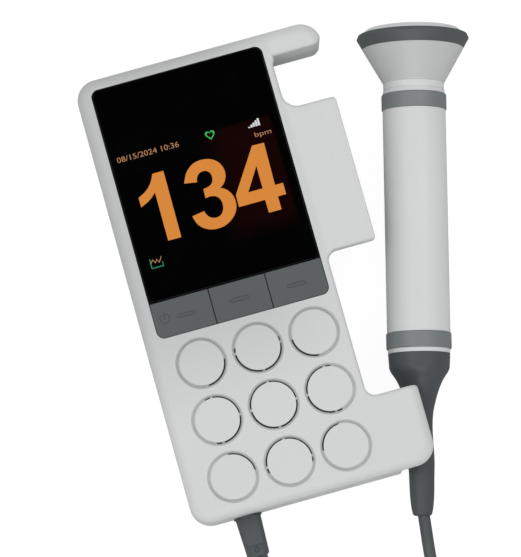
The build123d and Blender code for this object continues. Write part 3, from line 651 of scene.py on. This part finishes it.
class Palette:
    """The finishes of this monitor, by the part that they are made for."""

    CASE = CaseMoulding("case_satin", colour=(0.60, 0.615, 0.61), roughness=0.46, mottle=0.008, specular=0.35)
    PROBE = TurnedMoulding("probe_satin", colour=(0.61, 0.625, 0.62), roughness=0.40, mottle=0.008)
    HEAD = HeadMoulding("head_satin", colour=(0.615, 0.63, 0.625), roughness=0.42, mottle=0.008)
    KEY = Moulding(
        "key_grained", colour=(0.092, 0.100, 0.103), roughness=0.55, grain=0.18 * MM, specular=0.25
    )
    KEY_MARK = Moulding("key_mark", colour=(0.066, 0.072, 0.075), roughness=0.46, specular=0.25)
    BAND = TurnedMoulding(
        "band_grey", colour=(0.158, 0.175, 0.181), roughness=0.50, mottle=0.015, specular=1.0
    )
    RIM = TurnedMoulding("rim_grey", colour=(0.076, 0.084, 0.087), roughness=0.50, specular=0.5)
    RELIEF = Moulding("relief_grained", colour=(0.064, 0.072, 0.076), roughness=0.48)
    PLUG = Moulding("plug_rubber", colour=(0.080, 0.088, 0.092), roughness=0.48, mottle=0.03, specular=0.25)
    GLASS = WindowGlass("window_black")
    BLACK = Moulding("inner_black", colour=(0.02, 0.02, 0.022), roughness=0.5)
    MAT = Moulding("mat_grained", colour=(0.18, 0.18, 0.19), roughness=0.7, grain=0.3 * MM)
    BOARD = CircuitBoard("board_green")
    TIN = Metal("tin_rolled", colour=(0.66, 0.66, 0.64), roughness=0.34)
    STEEL = Metal("steel_bright", colour=(0.56, 0.56, 0.57), roughness=0.30, marks=(1500.0, 1500.0, 80.0))
    BRASS = Metal("plug_brass", colour=(0.78, 0.60, 0.28), roughness=0.22, marks=(2500.0, 80.0, 2500.0))
    CLOTH = Woven("grille_cloth")
    STRAP = Woven("tie_strap", colour=(0.04, 0.042, 0.045), pitch=0.55 * MM)
    PAPER = PressedPaper("cone_paper", centre=(1.1, -40.8))
    CRYSTAL = Sintered("crystal_fired")
    BACKING = Sintered("backing_filled", colour=(0.16, 0.16, 0.165), roughness=0.7)
    JACKET = Sheath("lead_jacket")
    RATE = LitSign("sign_orange", colour=(0.69, 0.245, 0.045))
    SMALL = LitSign("sign_pale_orange", colour=(0.42, 0.21, 0.10))
    GREEN = LitSign("sign_green", colour=(0.04, 0.52, 0.10))
    WHITE = LitSign("sign_white", colour=(0.72, 0.72, 0.78))
    TEAL = LitSign("sign_teal", colour=(0.02, 0.26, 0.12))


# ------------------------------ mesh helpers
def link(name: str, data: bpy.types.ID) -> Piece:
    """Puts a new object into the scene.

    Args:
        name: The piece's name.
        data: Its mesh or curve.

    Returns:
        The object.
    """
    piece = bpy.data.objects.new(name, data)
    bpy.context.scene.collection.objects.link(piece)
    return piece


def mesh_from(name: str, form: bmesh.types.BMesh, smoothed: bool = True) -> Piece:
    """Turns a finished form into a piece.

    Args:
        name: The piece's name.
        form: The form, which is freed.
        smoothed: Whether its faces are shaded smoothly.

    Returns:
        The piece.
    """
    bmesh.ops.recalc_face_normals(form, faces=form.faces)
    mesh = bpy.data.meshes.new(name)
    form.to_mesh(mesh)
    form.free()
    for face in mesh.polygons:
        face.use_smooth = smoothed
    return link(name, mesh)


def baked(curve: Piece) -> Piece:
    """The mesh of a curve or text piece, in its place.

    Args:
        curve: The curve or text object, which is removed.

    Returns:
        The mesh piece with the same name.
    """
    bpy.context.view_layer.update()
    evaluated = curve.evaluated_get(bpy.context.evaluated_depsgraph_get())
    mesh = bpy.data.meshes.new_from_object(evaluated)
    mesh.transform(curve.matrix_world)
    name = curve.name
    bpy.data.objects.remove(curve)
    mesh.name = name
    return link(name, mesh)


def outline_piece(
    name: str,
    loops: Sequence[Sequence[Corner]],
    height: float,
    raised: float = 0.0,
    bevel: float = 0.0,
) -> Piece:
    """A flat or raised figure with smooth and cornered outline points.

    Args:
        name: The piece's name.
        loops: Closed outlines of (x, y, cornered) in millimetres; inner ones are holes.
        height: Where its underside lies, in millimetres.
        raised: How far it stands up, in millimetres.
        bevel: How far its upper edge is rounded, in millimetres.

    Returns:
        The piece.
    """
    curve = bpy.data.curves.new(name, "CURVE")
    curve.dimensions = "2D"
    curve.fill_mode = "BOTH"
    curve.resolution_u = 6
    curve.extrude = raised * MM / 2
    curve.bevel_depth = bevel * MM
    curve.bevel_resolution = 1
    curve.offset = -bevel * MM
    for loop in loops:
        spline = curve.splines.new("BEZIER")
        spline.use_cyclic_u = True
        spline.bezier_points.add(len(loop) - 1)
        for point, (x, y, cornered) in zip(spline.bezier_points, loop):
            point.co = (x * MM, y * MM, 0.0)
            kind = "VECTOR" if cornered else "AUTO"
            point.handle_left_type = kind
            point.handle_right_type = kind
    piece = link(name, curve)
    piece.location.z = (height + raised / 2) * MM
    return baked(piece)


def stadium(cx: float, cy: float, half: float, radius: float, turn: float = 0.0) -> list[Corner]:
    """A long round-ended outline.

    Args:
        cx: Its centre.
        cy: Its centre.
        half: Half its straight length, in millimetres.
        radius: The radius of its ends.
        turn: How far it is turned, in degrees.

    Returns:
        The outline's points.
    """
    points = []
    c, s = math.cos(math.radians(turn)), math.sin(math.radians(turn))
    for side, start in ((1, -90), (-1, 90)):
        for step in range(5):
            angle = math.radians(start + step * 45)
            x, y = side * half + radius * math.cos(angle), radius * math.sin(angle)
            points.append((cx + x * c - y * s, cy + x * s + y * c, False))
    return points


def ring(cx: float, cy: float, radius: float) -> list[Corner]:
    """A round outline of twelve points."""
    turns = (2 * math.pi * index / 12 for index in range(12))
    return [(cx + radius * math.cos(turn), cy + radius * math.sin(turn), False) for turn in turns]


def sharp(*points: Point) -> list[Corner]:
    """Outline points that are all corners."""
    return [(x, y, True) for x, y in points]


def smooth(*points: Point) -> list[Corner]:
    """Outline points that the outline runs through smoothly."""
    return [(x, y, False) for x, y in points]


# ------------------------------ camera and lead
@dataclass
class Viewpoint:
    """The camera: it looks down on the display from a little below it, turned in the picture."""

    target: Place = (8.051, -1.026, 16.5)
    distance: float = 1150.0
    tilt: float = 7.0
    roll: float = 15.6
    lens: float = 241.56
    sensor: float = 36.0
    clip: Point = (0.05, 20.0)

    def build(self) -> list[Piece]:
        """Makes the camera and gives it to the scene.

        Returns:
            The camera alone.
        """
        roll, tilt = math.radians(self.roll), math.radians(self.tilt)
        right = Vector((math.cos(roll), -math.sin(roll), 0.0))
        down_flat = Vector((-math.sin(roll), -math.cos(roll), 0.0))
        back = down_flat * math.sin(tilt) + Vector((0.0, 0.0, 1.0)) * math.cos(tilt)
        up = back.cross(right)
        data = bpy.data.cameras.new("camera")
        data.lens = self.lens
        data.sensor_width = self.sensor
        data.clip_start, data.clip_end = self.clip
        camera = link("camera", data)
        turned = Matrix((right, up, back)).transposed().to_4x4()
        camera.matrix_world = Matrix.Translation((Vector(self.target) + back * self.distance) * MM) @ turned
        bpy.context.scene.camera = camera
        return [camera]


@dataclass
class Lead:
    """The probe's lead, its put-away coil and the strap that holds the coil."""

    diameter: float = 3.7
    length: float = 1.2
    exit: Place = PROBE_FOOT
    probe_run: tuple[Place, ...] = (
        (36.60, -83.1, 17.4),
        (36.25, -86.5, 17.4),
        (34.9, -97.0, 16.4),
        (34.4, -108.8, 11.4),
        (35.2, -119.8, 5.4),
        (36.3, -129.5, 2.3),
        (36.3, -138.0, 2.3),
    )
    plug_run: tuple[Place, ...] = (
        (-23.3, -138.0, 6.1),
        (-23.3, -130.2, 6.1),
        (-21.6, -122.2, 8.2),
        (-17.2, -113.2, 13.4),
        (-15.4, -103.5, 17.0),
        (-15.4, -95.6, 17.0),
    )
    centre: Point = (6.5, -156.0)
    outer_turn: float = 29.8
    pitch: float = 3.8
    layer_turns: float = 3.75
    low: float = 2.3
    high: float = 6.1
    per_turn: int = 14
    strap_thick: float = 0.42
    strap_corner: float = 1.7

    def coil_points(self) -> list[Place]:
        """Winds the coil inwards in the lower layer and outwards in the upper one.

        Returns:
            Its points, in millimetres.
        """
        step = 2 * math.pi / self.per_turn
        count = round(2 * self.layer_turns * self.per_turn)
        swell = 1 / math.cos(step / 2)
        points = []
        for index in range(count):
            turns = (index + 0.5) / self.per_turn
            inwards = self.layer_turns - abs(turns - self.layer_turns)
            radius = (self.outer_turn - self.pitch * inwards) * swell
            rise = min(1.0, max(0.0, (turns - self.layer_turns) / 0.5 + 0.5))
            height = self.low + (self.high - self.low) * rise * rise * (3 - 2 * rise)
            angle = -2 * math.pi * turns
            x, y = self.centre[0] + radius * math.cos(angle), self.centre[1] + radius * math.sin(angle)
            points.append((x, y, height))
        return points

    def build_cord(self) -> Piece:
        """Makes the lead as one smooth round curve.

        Returns:
            The lead.
        """
        points = [*self.probe_run, *self.coil_points(), *self.plug_run]
        curve = bpy.data.curves.new("lead", "CURVE")
        curve.dimensions = "3D"
        spline = curve.splines.new("NURBS")
        spline.points.add(len(points) - 1)
        for point, (x, y, z) in zip(spline.points, points):
            point.co = (x * MM, y * MM, z * MM, 1.0)
        spline.order_u = 3
        spline.use_endpoint_u = True
        curve.resolution_u = 8
        curve.bevel_depth = self.diameter * MM / 2
        curve.bevel_resolution = 6
        curve.use_fill_caps = True
        lead = link("lead", curve)
        Palette.JACKET.dress(lead)
        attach(lead, "unit")
        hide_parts("lead_probe_side", "lead_plug_side", "lead_coil")
        return lead

    def build_tie(self) -> Piece:
        """Makes the strap that goes round the coil's turns.

        Returns:
            The strap.
        """
        low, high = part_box("lead_tie")
        thick, corner = self.strap_thick * MM, self.strap_corner * MM
        y0, y1 = low.y + thick, high.y - thick
        z0, z1 = low.z + thick, high.z - thick
        path = []
        for cy, cz, start in ((y1, z0, -90), (y1, z1, 0), (y0, z1, 90), (y0, z0, 180)):
            y = cy - corner if cy == y1 else cy + corner
            z = cz - corner if cz == z1 else cz + corner
            path += [(y, z, math.radians(start + part * 22.5)) for part in range(5)]
        form = bmesh.new()
        width = (high.x - low.x) / 2 - 0.1 * MM
        middle = (high.x + low.x) / 2
        across = [-1.0, -0.86, 0.0, 0.86, 1.0]
        sections = []
        for y, z, angle in path:
            section = []
            for out, row in ((corner, across), (corner + thick * 0.92, across[::-1])):
                for share in row:
                    edge = 0.35 * thick if abs(share) == 1.0 else 0.0
                    reach = out + (edge if out == corner else -edge)
                    spot = (middle + share * width, y + reach * math.cos(angle), z + reach * math.sin(angle))
                    section.append(form.verts.new(spot))
            sections.append(section)
        for here, there in zip(sections, sections[1:] + sections[:1]):
            for index in range(len(here)):
                following = (index + 1) % len(here)
                form.faces.new((here[index], here[following], there[following], there[index]))
        tie = mesh_from("coil_strap", form)
        Palette.STRAP.dress(tie)
        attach(tie, "unit")
        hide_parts("lead_tie")
        return tie

    def build(self) -> list[Piece]:
        """Makes the lead and its strap."""
        return [self.build_cord(), self.build_tie()]


# ------------------------------ display image
class Digit(Enum):
    """The outlines of the three large digits, in millimetres on the window."""

    ONE = "one"
    THREE = "three"
    FOUR = "four"

    def loops(self) -> list[list[Corner]]:
        """Draws the digit.

        Returns:
            Its outlines, the outer one first.
        """
        if self is Digit.ONE:
            return [
                sharp((-12.10, 36.95), (-12.22, 15.85), (-16.35, 15.85), (-16.30, 31.20))
                + smooth((-18.60, 29.30))
                + sharp((-21.55, 27.90), (-21.55, 30.90))
                + smooth((-18.70, 32.50), (-16.75, 34.60))
                + sharp((-15.55, 36.95))
            ]
        if self is Digit.FOUR:
            return [
                sharp((16.03, 37.15), (7.20, 23.79), (7.15, 20.00), (15.39, 20.00), (15.45, 15.87),
                      (19.42, 15.87), (19.42, 20.00), (22.03, 20.00), (22.03, 23.60), (19.50, 23.60),
                      (19.75, 37.05)),
                sharp((15.62, 30.80), (11.05, 23.60), (15.62, 23.60)),
            ]
        return [
            sharp((-7.0, 31.44))
            + smooth((-6.42, 32.82), (-5.59, 34.32), (-4.37, 35.60), (-2.73, 36.64), (-0.91, 37.05),
                     (0.92, 37.00), (2.95, 36.40), (4.50, 35.27), (5.50, 33.73), (5.90, 32.00),
                     (5.74, 30.40), (5.14, 29.00), (4.25, 27.90))
            + sharp((3.20, 27.25))
            + smooth((4.45, 26.55), (5.64, 25.30), (6.40, 23.66), (6.62, 21.86), (6.30, 20.00),
                     (5.40, 18.35), (4.02, 17.00), (2.25, 15.95), (0.32, 15.45), (-1.64, 15.42),
                     (-3.50, 15.90), (-5.05, 16.80), (-6.30, 18.20), (-6.98, 19.75))
            + sharp((-7.28, 21.08), (-3.44, 21.67))
            + smooth((-3.01, 20.50), (-2.32, 19.50), (-1.26, 18.91), (-0.07, 18.78), (1.15, 19.15),
                     (2.04, 20.10), (2.52, 21.42), (2.58, 22.83), (2.20, 24.05), (1.40, 24.98),
                     (0.32, 25.42), (-0.77, 25.50))
            + sharp((-1.93, 25.33), (-1.85, 28.25))
            + smooth((-0.69, 28.40), (0.45, 28.80), (1.32, 29.60), (1.70, 30.80), (1.62, 32.05),
                     (1.06, 33.01), (0.15, 33.52), (-1.01, 33.54), (-2.10, 33.00), (-2.85, 31.95))
            + sharp((-3.13, 30.78))
        ]


@dataclass
class DisplayImage:
    """What the lit screen shows: a rate, its unit, a row of small digits and plain icons."""

    lift: float = 0.012
    stamp: str = "08/15/2024 10:36"
    stamp_box: Box = (-24.85, 42.85, -5.40, 44.55)
    unit: str = "bpm"
    unit_box: Box = (17.70, 38.90, 22.85, 40.85)
    heart_centre: Point = (4.6, 43.72)
    heart_sizes: Point = (1.46, 1.0)
    signal_foot: Point = (16.45, 42.62)
    signal_bars: int = 5
    signal_pitch: float = 0.78
    signal_width: float = 0.6
    signal_first: float = 0.35
    signal_rise: float = 0.47
    pieces: list[Piece] = field(default_factory=list)

    def height(self) -> float:
        """The height of the signs: just on the window's face, in millimetres."""
        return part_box("display_window")[1].z / MM + self.lift

    def keep(self, piece: Piece, finish: Finish) -> None:
        """Dresses a sign and fixes it to the unit.

        Args:
            piece: The sign.
            finish: Its light.
        """
        finish.dress(piece)
        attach(piece, "unit")
        self.pieces.append(piece)

    def line(self, name: str, words: str, box: Box, finish: Finish) -> None:
        """A line of small lettering that fills a box.

        Args:
            name: The piece's name.
            words: The digits or letters.
            box: Left, lower, right and upper limits, in millimetres.
            finish: Its light.
        """
        curve = bpy.data.curves.new(name, "FONT")
        curve.body = words
        curve.size = 2.0 * MM
        curve.resolution_u = 3
        piece = baked(link(name, curve))
        corners = [vertex.co for vertex in piece.data.vertices]
        x0, x1 = min(c.x for c in corners), max(c.x for c in corners)
        y0, y1 = min(c.y for c in corners), max(c.y for c in corners)
        left, low, right, high = (part * MM for part in box)
        wide, tall = (right - left) / (x1 - x0), (high - low) / (y1 - y0)
        fit = Matrix.Translation((left, low, self.height() * MM))
        fit = fit @ Matrix.Diagonal((wide, tall, 1.0, 1.0)) @ Matrix.Translation((-x0, -y0, 0.0))
        piece.data.transform(fit)
        self.keep(piece, finish)

    def rate(self) -> None:
        """The three large digits."""
        for digit in Digit:
            piece = outline_piece(f"rate_{digit.value}", digit.loops(), self.height())
            self.keep(piece, Palette.RATE)

    def heart(self) -> None:
        """The outlined heart."""
        half = smooth((0.62, -0.34), (1.0, 0.24), (0.88, 0.72), (0.5, 0.9), (0.16, 0.76))
        mirrored = [(-x, y, corner) for x, y, corner in reversed(half)]
        shape = [(0.0, -1.0, True), *half, (0.0, 0.46, True), *mirrored]
        cx, cy = self.heart_centre
        loops = []
        for size in self.heart_sizes:
            loops.append([(cx + x * size, cy + y * size, corner) for x, y, corner in shape])
        self.keep(outline_piece("heart_sign", loops, self.height()), Palette.GREEN)

    def signal(self) -> None:
        """A row of rising bars."""
        loops = []
        start, low = self.signal_foot
        for index in range(self.signal_bars):
            left = start + index * self.signal_pitch
            right = left + self.signal_width
            high = low + (self.signal_first + index * self.signal_rise)
            loops.append(sharp((left, low), (right, low), (right, high), (left, high)))
        self.keep(outline_piece("signal_sign", loops, self.height()), Palette.WHITE)

    def chart(self) -> None:
        """A small chart: two axes and a jagged trace."""
        axes = sharp((-23.5, 11.9), (-23.5, 8.75), (-19.6, 8.75), (-19.6, 10.2), (-19.85, 10.2),
                     (-19.85, 9.05), (-23.2, 9.05), (-23.2, 11.9))
        self.keep(outline_piece("chart_axes", [axes], self.height()), Palette.TEAL)
        upper = [(-23.3, 10.7), (-22.5, 11.6), (-21.9, 10.6), (-21.2, 11.5), (-20.7, 10.4), (-19.7, 12.0)]
        trace = upper + [(x, y - 0.42) for x, y in reversed(upper)]
        self.keep(outline_piece("chart_trace", [sharp(*trace)], self.height()), Palette.SMALL)

    def build(self) -> list[Piece]:
        """Makes every sign.

        Returns:
            The signs.
        """
        self.rate()
        self.line("stamp_line", self.stamp, self.stamp_box, Palette.SMALL)
        self.line("unit_line", self.unit, self.unit_box, Palette.SMALL)
        self.heart()
        self.signal()
        self.chart()
        return self.pieces


# ------------------------------ key marks
@dataclass
class KeyMarks:
    """The low raised marks on the three soft keys."""

    raised: float = 0.07
    sunk: float = 0.01
    bevel: float = 0.02
    bar_half: float = 2.45
    bar_radius: float = 0.52
    stroke: float = 0.24
    bars: tuple[tuple[str, Point], ...] = (
        ("left", (-17.0, -7.3)), ("middle", (-0.2, -7.1)), ("right", (17.6, -7.5)),
    )
    round_at: Point = (-23.7, -6.9)
    round_radii: Point = (1.55, 1.28)
    post_at: Point = (-23.7, -6.5)
    post_half: float = 0.55
    post_radius: float = 0.16

    def build(self) -> list[Piece]:
        """Makes the marks, each on its own key.

        Returns:
            The marks.
        """
        marks = []
        for side, centre in self.bars:
            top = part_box(f"soft_key_{side}")[1].z / MM
            radii = (self.bar_radius, self.bar_radius - self.stroke)
            loops = [stadium(*centre, self.bar_half, radius) for radius in radii]
            marks.append(self.keep(f"key_bar_{side}", loops, top, side))
            if side == "left":
                rings = [ring(*self.round_at, radius) for radius in self.round_radii]
                marks.append(self.keep("key_round", rings, top, side))
                post = [stadium(*self.post_at, self.post_half, self.post_radius, 90.0)]
                marks.append(self.keep("key_round_post", post, top, side))
        return marks

    def keep(self, name: str, loops: Sequence[Sequence[Corner]], top: float, side: str) -> Piece:
        """Dresses a mark and fixes it to its key.

        Args:
            name: The piece's name.
            loops: Its outlines.
            top: The key's face, in millimetres.
            side: Which key it is on.

        Returns:
            The mark.
        """
        piece = outline_piece(name, loops, top - self.sunk, self.raised, self.bevel)
        Palette.KEY_MARK.dress(piece)
        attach(piece, f"key_{side}")
        return piece


# ------------------------------ carried-over pieces
class Dressing:
    """Gives every carried-over solid its finish."""

    def sleeves(self) -> dict[str, Finish]:
        """Makes the two cells' sleeves, which point opposite ways.

        Returns:
            The finish of each cell.
        """
        made = {}
        for side, turned in (("left", False), ("right", True)):
            low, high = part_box(f"battery_cell_{side}")
            made[f"battery_cell_{side}"] = CellSleeve(f"cell_sleeve_{side}", low.y, high.y, turned)
        return made

    def table(self) -> dict[str, Finish]:
        """Says which finish each solid has.

        Returns:
            The finish of each node.
        """
        p = Palette
        groups: dict[Finish, tuple[str, ...]] = {
            p.CASE: ("front_casing", "rear_casing", "battery_door"),
            p.PROBE: ("probe_body", "sound_face", "spacer_ring"),
            p.HEAD: ("head_shell",),
            p.KEY: ("soft_key_left", "soft_key_middle", "soft_key_right"),
            p.BAND: ("upper_band", "lower_band"),
            p.RIM: ("rim_band",),
            p.RELIEF: ("strain_relief",),
            p.PLUG: ("plug_body", "plug_boot"),
            p.GLASS: ("display_window",),
            p.BLACK: ("display_panel", "display_backlight", "display_carrier", "processor",
                      "probe_socket", "headphone_socket", "cord_clamp"),
            p.MAT: ("keypad_mat",),
            p.BOARD: ("main_board", "socket_board", "probe_board"),
            p.TIN: ("shield_can", "key_switch_left", "key_switch_middle", "key_switch_right",
                    "battery_contact_low", "battery_contact_high"),
            p.STEEL: ("case_screws", "speaker_frame", "speaker_magnet"),
            p.BRASS: ("plug_pin",),
            p.CLOTH: ("speaker_cloth",),
            p.PAPER: ("speaker_cone",),
            p.CRYSTAL: ("transmit_crystal", "receive_crystal"),
            p.BACKING: ("crystal_backing",),
            p.JACKET: ("probe_lead_end", "lead_probe_side", "lead_plug_side", "lead_coil"),
            p.STRAP: ("lead_tie",),
        }
        made = {node: finish for finish, nodes in groups.items() for node in nodes}
        made.update(self.sleeves())
        return made

    def build(self) -> list[Piece]:
        """Dresses every solid and says which has no finish.

        Returns:
            The dressed solids.
        """
        finishes, dressed = self.table(), []
        for name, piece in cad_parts.items():
            if name in finishes:
                finishes[name].dress(piece)
                dressed.append(piece)
            else:
                LOG.warning("no finish for %s", name)
        return dressed


# ------------------------------ studio
@dataclass
class Studio:
    """A pale floor, a soft world and three large lamps."""

    floor_size: float = 6.0
    floor_white: float = 0.86
    floor_glow: float = 1.09
    shade_kept: float = 0.14
    floor_gloss: float = 0.30
    world_level: float = 0.62
    aim: Place = (0.01, 0.0, 0.015)
    # Each lamp's name, its place and side in metres, and its power in watts.
    lamps: tuple[tuple[str, Place, float, float], ...] = (
        ("key_lamp", (0.54, 0.34, 1.00), 0.7, 2.9),
        ("fill_lamp", (-0.52, 0.14, 1.10), 0.7, 2.6),
        ("front_lamp", (-0.20, -0.82, 0.72), 0.6, 2.7),
    )

    def floor(self) -> Piece:
        """Makes the floor, which keeps a soft shadow and is white to the camera.

        Returns:
            The floor.
        """
        form = bmesh.new()
        bmesh.ops.create_grid(form, x_segments=8, y_segments=8, size=self.floor_size / 2)
        floor = mesh_from("floor", form, smoothed=False)
        floor.location.z = -0.02 * MM
        material = bpy.data.materials.new("floor_white")
        material.use_nodes = True
        graph = Graph(material.node_tree)
        paper = graph.shades(graph.noise(120 * MM, 3.0), (self.floor_white,) * 3, 1.0, 0.99)
        lit = graph.node("ShaderNodeBsdfDiffuse", values={"Color": paper})
        plain = graph.node("ShaderNodeEmission", values={"Color": WHITE, "Strength": self.floor_glow})
        dim = graph.node("ShaderNodeEmission", values={"Color": (self.floor_gloss,) * 3, "Strength": 1.0})
        seen = graph.ray("Camera").most(graph.ray("Transmission")) * (1 - self.shade_kept)
        shader = graph.mixed(graph.ray("Glossy"), graph.mixed(seen, lit, plain), dim)
        graph.node("ShaderNodeOutputMaterial", values={"Surface": shader})
        floor.data.materials.append(material)
        return floor

    def world(self) -> None:
        """Makes the world: soft all round for the light, white to the camera, dark overhead for gloss."""
        world = bpy.data.worlds.new("studio")
        bpy.context.scene.world = world
        world.use_nodes = True
        graph = Graph(world.node_tree)
        _, _, height = graph.axes(graph.node("ShaderNodeTexCoord", output="Generated"))
        ceiling = height.step(0.45, 0.72, 0.14, 0.45) * height.step(0.90, 0.965, 1.0, 0.02)
        soft, gloss, white = (
            graph.node("ShaderNodeBackground", values={"Color": WHITE, "Strength": strength})
            for strength in (self.world_level, ceiling, 1.0)
        )
        shader = graph.mixed(graph.ray("Camera"), graph.mixed(graph.ray("Glossy"), soft, gloss), white)
        graph.node("ShaderNodeOutputWorld", values={"Surface": shader})

    def lamp(self, name: str, place: Place, size: float, power: float) -> Piece:
        """Makes one large soft lamp that faces the object.

        Args:
            name: The lamp's name.
            place: Where it stands, in metres.
            size: The side of its square, in metres.
            power: Its power, in watts.

        Returns:
            The lamp.
        """
        data = bpy.data.lights.new(name, "AREA")
        data.shape = "SQUARE"
        data.size = size
        data.energy = power
        lamp = link(name, data)
        towards = Vector(self.aim) - Vector(place)
        lamp.matrix_world = Matrix.Translation(place) @ towards.to_track_quat("-Z", "Y").to_matrix().to_4x4()
        return lamp

    def build(self) -> list[Piece]:
        """Makes the floor, the world and the lamps, and sets how the picture is shown.

        Returns:
            The floor and the lamps.
        """
        floor = self.floor()
        self.world()
        bpy.context.scene.view_settings.view_transform = "Standard"
        return [floor, *(self.lamp(*row) for row in self.lamps)]


def main() -> None:
    """Builds the scene in order and reports each piece."""
    logging.basicConfig(level=logging.INFO, format="%(name)s: %(message)s")
    for builder in (Viewpoint(), Lead(), Dressing(), DisplayImage(), KeyMarks(), Studio()):
        for piece in builder.build():
            LOG.info("%s: %s", type(builder).__name__, piece.name)


if __name__ == "__main__":
    main()
